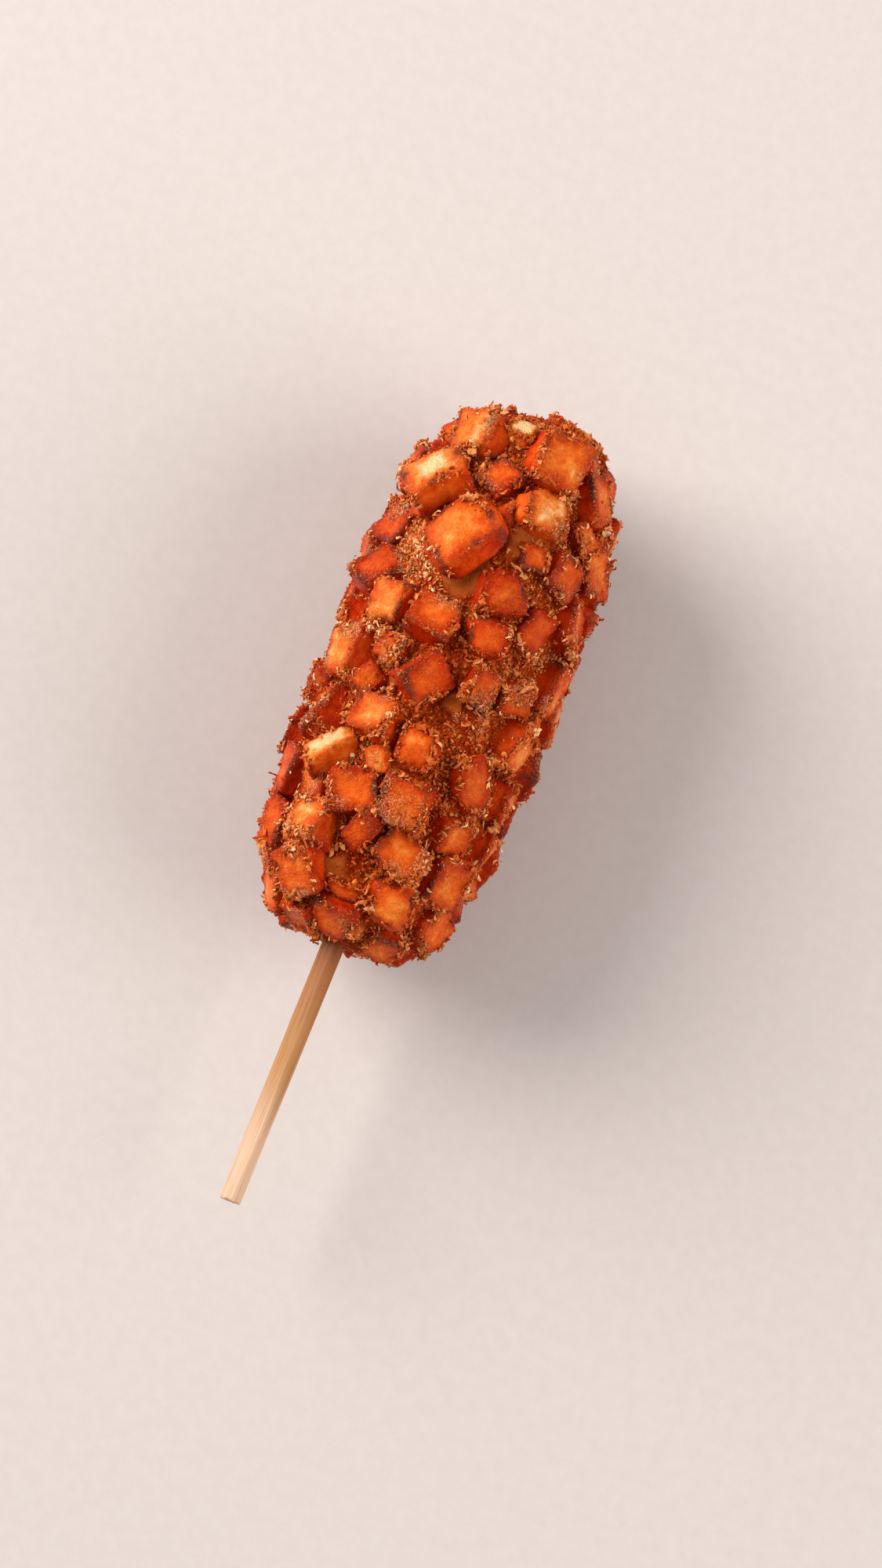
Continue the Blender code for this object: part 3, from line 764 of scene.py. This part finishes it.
def makeCrust(cubes, finish):
    bm = bmesh.new()
    bmesh.ops.create_uvsphere(bm, u_segments=crust["round"], v_segments=crust["rings"], radius=1.0)
    mesh = meshFrom(bm, "batterCrust")
    points, normal, radius = bodySurface(readVectors(mesh.vertices, "co"))
    close, _ = nearCubes(points + normal * crust["lift"], cubes)
    bare = spotted(points, barePatches, crust["bareCore"])
    height = crust["lift"] + close * crust["climb"] * (0.75 + 0.35 * cellNoise(points, 5 * mm, 5))
    height += layeredNoise(points, crust["lumpSize"], 31, 2) * crust["lumps"]
    ragged = np.abs(layeredNoise(points, crust["roughSize"], 41, 3, 0.65)) - 0.3
    height += ragged * crust["rough"] * 2 * (1 - crust["bareRough"] * bare) + bare * crust["bareLift"]
    points += normal * height[:, None]
    liftOffFloor(points)
    writePoints(mesh, points)
    # one mark for the smooth bare patches, and one for the hollows that take painted shade
    paint(mesh, smooth=bare, hollow=spotted(points, hollows, crust["hollowCore"]))
    bm = bmesh.new()
    bm.from_mesh(mesh)
    bmesh.ops.recalc_face_normals(bm, faces=bm.faces[:])
    bm.to_mesh(mesh)
    bm.free()
    keepPiece("batterCrust", mesh, finish, "batter", "batter")
    return {"mesh": mesh, "points": points, "bare": bare, "area": radius / body["radius"]}


# the shapes of one crumb, for a length of 1
threads = {"curl": {"thick": 0.34, "rings": 4}, "shred": {"thick": 0.55, "rings": 3}}
threadBend = {"wave": 0.10, "bend": 1.1}
flake = {"pointed": 2.2, "wave": 0.12, "bend": 0.5, "cup": 0.4, "ripple": 0.08, "thickness": 0.16}


def crumbShape(kind):
    bm = bmesh.new()
    if kind == "speck":
        bmesh.ops.create_uvsphere(bm, u_segments=4, v_segments=2, radius=0.5)
    elif kind == "clump":
        bmesh.ops.create_uvsphere(bm, u_segments=6, v_segments=5, radius=0.5)
    elif kind in threads:
        # a bent thread, thickest in the middle
        thick = threads[kind]["thick"]
        bmesh.ops.create_uvsphere(bm, u_segments=3, v_segments=threads[kind]["rings"], radius=0.5)
        for vertex in bm.verts:
            x, y, z = vertex.co
            wave = threadBend["wave"] * math.sin(8 * z)
            vertex.co = (z, thick * y + wave, thick * x - threadBend["bend"] * z * z)
    else:
        # a curled flake, thin and pointed at its ends
        bmesh.ops.create_grid(bm, x_segments=4, y_segments=2, size=0.5)
        for vertex in bm.verts:
            x, y = vertex.co.x, vertex.co.y
            vertex.co.y = y * (1 - flake["pointed"] * x * x) + flake["wave"] * math.sin(9 * x)
            bend = flake["bend"] * x * x - flake["cup"] * y * y
            vertex.co.z = bend + flake["ripple"] * math.sin(14 * x + 5 * y)
        bmesh.ops.solidify(bm, geom=bm.faces[:], thickness=flake["thickness"])
        bmesh.ops.recalc_face_normals(bm, faces=bm.faces[:])
    bmesh.ops.triangulate(bm, faces=bm.faces[:])
    points = np.array([v.co for v in bm.verts])
    faces = np.array([[v.index for v in f.verts] for f in bm.faces])
    bm.free()
    return points, faces


def randomTurns(rng, count):
    # as many rotation matrices, spread evenly
    quats = rng.normal(size=(count, 4))
    quats /= np.linalg.norm(quats, axis=1)[:, None]
    w, x, y, z = quats.T
    rows = [
        (1 - 2 * (y * y + z * z), 2 * (x * y - z * w), 2 * (x * z + y * w)),
        (2 * (x * y + z * w), 1 - 2 * (x * x + z * z), 2 * (y * z - x * w)),
        (2 * (x * z - y * w), 2 * (y * z + x * w), 1 - 2 * (x * x + y * y)),
    ]
    return np.stack([np.stack(row, axis=1) for row in rows], axis=1)


def liesFlat(rng, normals, tilt):
    # rotations whose third axis is near the surface's normal, turned at random about it
    up = normals + rng.normal(size=normals.shape) * tilt
    up /= np.linalg.norm(up, axis=1)[:, None]
    side = np.cross(up, rng.normal(size=up.shape))
    side /= np.linalg.norm(side, axis=1)[:, None]
    return np.stack((side, np.cross(up, side), up), axis=2)


def scatter(name, finish, shape, spots, turns, sizes, tones, rng, jag):
    points, faces = shape
    count = len(spots)
    own = points[None] * (1 + rng.uniform(-jag, jag, (count, len(points), 1)))
    own = np.einsum("nij,nkj->nki", turns, own * sizes[:, None, :]) + spots[:, None, :]
    liftOffFloor(own)
    allFaces = (faces[None] + (np.arange(count) * len(points))[:, None, None]).reshape(-1, 3)
    mesh = bpy.data.meshes.new(name)
    mesh.vertices.add(count * len(points))
    mesh.vertices.foreach_set("co", own.astype(np.float32).ravel())
    mesh.loops.add(allFaces.size)
    mesh.loops.foreach_set("vertex_index", allFaces.ravel())
    mesh.polygons.add(len(allFaces))
    mesh.polygons.foreach_set("loop_start", np.arange(len(allFaces)) * 3)
    mesh.update(calc_edges=True)
    mesh.validate()
    paint(mesh, tone=np.repeat(tones, len(points)))
    keepPiece(name, mesh, finish, "batter")
    mesh.shade_flat()
    print(f"{name}: {count} crumbs, {len(allFaces)} triangles")


# how crumbs spread
spread = {
    "offBare": 0.98, "aboveFloor": 1.5 * mm, "jitter": 0.25 * mm, "bedded": 0.2,
    "onFaces": 0.006, "onRims": 0.40, "onCake": 0.7, "cakeFrom": 0.35, "upFaces": (-0.4, 0.3),
    "behind": 0.35, "shownFrom": (-12 * mm, 8 * mm),
    "patchSize": 9 * mm, "patchEdge": (-0.25, 0.45), "outOfPatches": 0.12,
    "offShadedHollows": 0.85, "offHeaps": 0.10,
    "tuftSize": 4.5 * mm, "tuftEdge": (0.0, 0.55), "outOfTufts": 0.06,
}


def gatherGround(crustMade, cubes, grounds):
    # every point that a crumb can stick to, with its normal and how readily it does
    _, inside = nearCubes(crustMade["points"], cubes)
    mesh = crustMade["mesh"]
    points, normals = crustMade["points"], readVectors(mesh.vertices, "normal")
    weight = (1 - spread["offBare"] * crustMade["bare"]) * ~inside * crustMade["area"]
    weight = weight * (points[:, 2] > spread["aboveFloor"])
    valleys = {"points": points, "normals": normals, "weight": weight}
    points = np.concatenate([readVectors(g["mesh"].vertices, "co") for g in grounds])
    normals = np.concatenate([readVectors(g["mesh"].vertices, "normal") for g in grounds])
    rim, height, crumby = (np.concatenate([g[key] for g in grounds]) for key in ("rim", "height", "crumby"))
    caked = np.maximum(crumby - spread["cakeFrom"], 0)
    weight = spread["onFaces"] + spread["onRims"] * rim**4 + spread["onCake"] * caked
    weight = weight * smoothStep(*spread["upFaces"], height)
    faces = {"points": points, "normals": normals, "weight": weight}
    return valleys, faces


def pick(rng, ground, count, favour):
    weight = ground["weight"] * favour(ground["points"])
    chosen = rng.choice(len(weight), count, p=weight / weight.sum())
    jitter = rng.normal(size=(count, 3)) * spread["jitter"]
    return ground["points"][chosen] + jitter, ground["normals"][chosen]


def shownSide(points):
    shown = smoothStep(*spread["shownFrom"], points[:, 2] - axisZ)
    return spread["behind"] + (1 - spread["behind"]) * shown


def crumbPatches(points):
    # crumbs lie in patches, not evenly, and the pale ones are kept out of the hollows so that these keep
    # their painted shade
    patches = smoothStep(*spread["patchEdge"], layeredNoise(points, spread["patchSize"], 77, 2))
    clear = 1 - spread["offShadedHollows"] * spotted(points, hollows, crust["hollowCore"])
    return shownSide(points) * (spread["outOfPatches"] + patches) * clear


def heapedUp(points):
    return spread["offHeaps"] * crumbPatches(points) + spotted(points, crumbHeaps, crust["heapCore"])


def clustered(points):
    # crumb that clings to the cubes lies in tufts
    tufts = smoothStep(*spread["tuftEdge"], layeredNoise(points, spread["tuftSize"], 88, 2))
    return shownSide(points) * (spread["outOfTufts"] + tufts)


# each kind: its shape, how many in the valleys and on the cubes, least and greatest size in mm, how wide
# for its length, how it spreads, how ragged it is and its colour
crumbKinds = {
    "fineCrumb": ("shred", 9600, 7000, (0.35, 0.95), (0.7, 1.3), heapedUp, 0.30, "golden"),
    "goldenGrains": ("shred", 5500, 1500, (0.45, 1.20), (0.6, 1.3), crumbPatches, 0.32, "golden"),
    "brownGrains": ("speck", 12500, 300, (0.40, 1.05), (0.6, 1.2), shownSide, 0.32, "brown"),
    "curls": ("curl", 3600, 7400, (0.8, 2.3), (0.8, 1.3), crumbPatches, 0.28, "tan"),
    "clumps": ("clump", 700, 420, (0.8, 1.8), (0.5, 1.1), crumbPatches, 0.42, "golden"),
    "flakes": ("flake", 1100, 1000, (1.0, 2.6), (0.4, 0.8), shownSide, 0.35, "tan"),
    "slivers": ("flake", 50, 100, (2.4, 4.4), (0.16, 0.28), shownSide, 0.15, "tan"),
}


# crumbs are paler in heaps, and deeper in a band along the middle of the shown side
crumbTones = {
    "mean": 0.43, "range": 0.27, "inHeaps": 0.2,
    "inBand": 0.25,
    "band": 2 * mm,  # how far across the body the band's middle is
    "bandEdge": (13 * mm, 5 * mm),
}


def layCrumbs(rng, kind, normals, across, width):
    # how each crumb is turned, and its three sizes
    count = len(normals)
    if kind in threads:
        sizes = across * np.stack((np.ones(count), *rng.uniform(*width, (2, count))), axis=1)
        return liesFlat(rng, normals, 0.6), sizes
    if kind == "flake":
        wide = across * rng.uniform(*width, (count, 1))
        return liesFlat(rng, normals, 0.7), np.concatenate((across, wide, np.sqrt(across * wide)), axis=1)
    sizes = across * rng.uniform(*width, (count, 3))
    return randomTurns(rng, count), sizes


def makeCrumbs(valleys, faces):
    rng = np.random.default_rng(5)
    look = crumbTones
    finishes = {colour: makeCrumbFinish(f"{colour}Crumb", stops) for colour, stops in crumbColours.items()}
    for name, (kind, inValleys, onFaces, size, width, favour, jag, colour) in crumbKinds.items():
        low, lowNormals = pick(rng, valleys, inValleys, favour)
        high, highNormals = pick(rng, faces, onFaces, clustered)
        spots, normals = np.concatenate((low, high)), np.concatenate((lowNormals, highNormals))
        count = len(spots)
        across = (size[0] + (size[1] - size[0]) * rng.random((count, 1)) ** 1.8) * mm  # most of them small
        turns, sizes = layCrumbs(rng, kind, normals, across, width)
        spots = spots + normals * across * spread["bedded"]
        heaped = look["inHeaps"] * spotted(spots, crumbHeaps, crust["heapCore"])
        tones = np.clip(rng.normal(look["mean"], look["range"], count) + heaped, 0, 1)
        fromBand = np.abs(spots[:, 0] - axisX - look["band"])
        tones *= 1 - look["inBand"] * smoothStep(*look["bandEdge"], fromBand)
        scatter(name, finishes[colour], crumbShape(kind), spots, turns, sizes, tones, rng, jag)


stick = {
    "rings": 160, "cutsAcross": 7, "shown": 76 * mm, "start": 0.5 * mm,
    "groove": 0.07 * mm, "grooveSize": 0.7 * mm, "drawnOut": 0.02,
    "frayed": 1.5 * mm, "fray": 0.5 * mm, "fraySize": 0.5 * mm,
    "oiled": ((14 * mm, 40 * mm), (40 * mm, 72 * mm)),  # where the two halves of its browning run
    "oilRuns": 4 * mm, "runSize": 1.5 * mm,
}


def makeStick(finish):
    # a copy of the solid, cut finely enough for grooves that run with the grain
    bm = bmesh.new()
    bm.from_mesh(nodes["stick"].data)
    bmesh.ops.remove_doubles(bm, verts=bm.verts[:], dist=0.01 * mm)
    bmesh.ops.dissolve_limit(bm, angle_limit=math.radians(1), verts=bm.verts[:], edges=bm.edges[:])
    for ring in range(1, stick["rings"]):
        at = Vector((0, stickLow[1] + stick["start"] + stick["shown"] * ring / stick["rings"], 0))
        geom = bm.verts[:] + bm.edges[:] + bm.faces[:]
        bmesh.ops.bisect_plane(bm, geom=geom, dist=1e-7, plane_co=at, plane_no=(0, 1, 0))
    acrossStick = [e for e in bm.edges if abs(e.verts[0].co.y - e.verts[1].co.y) < 1e-6]
    bmesh.ops.subdivide_edges(bm, edges=acrossStick, cuts=stick["cutsAcross"], use_grid_fill=True)
    bmesh.ops.triangulate(bm, faces=[f for f in bm.faces if len(f.verts) > 4])
    mesh = meshFrom(bm, "stickGrain")
    points = readVectors(mesh.vertices, "co")
    normals = readVectors(mesh.vertices, "normal")
    grained = points * np.array((1, stick["drawnOut"], 1))
    points += normals * (layeredNoise(grained, stick["grooveSize"], 210, 2) * stick["groove"])[:, None]
    frayed = smoothStep(stick["frayed"], 0, points[:, 1] - stickLow[1])
    points[:, 1] += frayed * (0.5 + 0.5 * cellNoise(grained, stick["fraySize"], 220)) * stick["fray"]
    writePoints(mesh, points)
    length = points[:, 1] - stickLow[1] + cellNoise(grained, stick["runSize"], 230) * stick["oilRuns"]
    first, second = (smoothStep(*ends, length) for ends in stick["oiled"])
    paint(mesh, oiled=0.5 * first + 0.5 * second)
    keepPiece("stickGrain", mesh, finish, "stick", "stick")


view = {
    "lean": math.radians(8), "roll": math.radians(22), "distance": 1.0, "lens": 90, "sensor": 36,
    "aimUp": 119.1, "aimAcross": 10.2,  # from the stick's free end, in mm
}


def makeCamera():
    forward = Vector((0, math.sin(view["lean"]), -math.cos(view["lean"])))
    upBody = (Vector((0, 1, 0)) - forward * forward.y).normalized()
    across = forward.cross(upBody)
    freeEnd = Vector((axisX, stickLow[1], axisZ))
    aim = freeEnd + upBody * view["aimUp"] * mm + across * view["aimAcross"] * mm
    right = upBody * math.sin(view["roll"]) + across * math.cos(view["roll"])
    up = upBody * math.cos(view["roll"]) - across * math.sin(view["roll"])
    lens = bpy.data.cameras.new("camera")
    lens.lens = view["lens"]
    lens.sensor_width = view["sensor"]
    camera = addToScene("camera", lens)
    turn = Matrix((right, up, -forward)).transposed().to_4x4()
    turn.translation = aim - forward * view["distance"]
    camera.matrix_world = turn
    bpy.context.scene.camera = camera
    return aim, right, up, -forward


lights = {
    # place from the aim as right, up and toward the camera in metres, size in metres, power and colour
    "key": ((-1.6, 1.3, 1.0), 1.8, 91, (1.0, 0.965, 0.93)),
    "fill": ((1.8, -0.3, 0.9), 1.9, 40, (1.0, 0.95, 0.92)),
}
surround = {"colour": (1.0, 0.955, 0.925, 1), "strength": 0.41}


def makeLights(aim, right, up, back):
    for name, (place, size, power, colour) in lights.items():
        lamp = bpy.data.lights.new(name, "AREA")
        lamp.shape = "DISK"
        lamp.size = size
        lamp.energy = power
        lamp.color = colour
        lit = addToScene(name, lamp)
        lit.location = aim + right * place[0] + up * place[1] + back * place[2]
        lit.rotation_euler = (lit.location - aim).to_track_quat("Z", "Y").to_euler()
    world = bpy.data.worlds.new("studio")
    world.use_nodes = True
    background = world.node_tree.nodes["Background"]
    background.inputs["Color"].default_value = surround["colour"]
    background.inputs["Strength"].default_value = surround["strength"]
    bpy.context.scene.world = world


card = {"size": 3.0, "fineness": 260, "colours": ((0.555, 0.504, 0.482), (0.575, 0.524, 0.502))}


def makeFloor():
    finish, tree, shader = newFinish("paleCard", Roughness=0.9, Specular_IOR_Level=0.2)
    mottle = rangeOf(tree, noiseOf(tree, card["fineness"], 3.0, 0.6), 0.3, 0.7)
    tree.links.new(mixColour(tree, mottle, *card["colours"]), shader.inputs["Base Color"])
    bm = bmesh.new()
    bmesh.ops.create_grid(bm, x_segments=1, y_segments=1, size=card["size"])
    mesh = meshFrom(bm, "floor")
    mesh.materials.append(finish)
    addToScene("floor", mesh)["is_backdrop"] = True


bpy.context.scene.view_settings.view_transform = "Standard"
aim, right, up, back = makeCamera()
makeLights(aim, right, up, back)
makeFloor()
print("camera, light and floor are set")
potatoFinish = makePotatoFinish()
shownCubes = makeCubes(potatoFinish)
print(f"{len(shownCubes)} potato cubes")
hiddenCubes, hiddenGround = makeHiddenCubes(shownCubes, potatoFinish)
print(f"{len(hiddenCubes)} more on the side turned away")
sunkCount, sunkGround = makeSunkPieces(shownCubes + hiddenCubes, potatoFinish)
print(f"{sunkCount} pieces of potato sunk between them")
crustMade = makeCrust(shownCubes + hiddenCubes, makeCrustFinish())
print("dough between the cubes")
valleys, faces = gatherGround(crustMade, shownCubes + hiddenCubes, shownCubes + [hiddenGround, sunkGround])
makeCrumbs(valleys, faces)
makeStick(makeStickFinish())
print("stick")

boxes = {"cad": cadBox, "visual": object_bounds()}
{name: [[float(x) for x in corner] for corner in box] for name, box in boxes.items()}
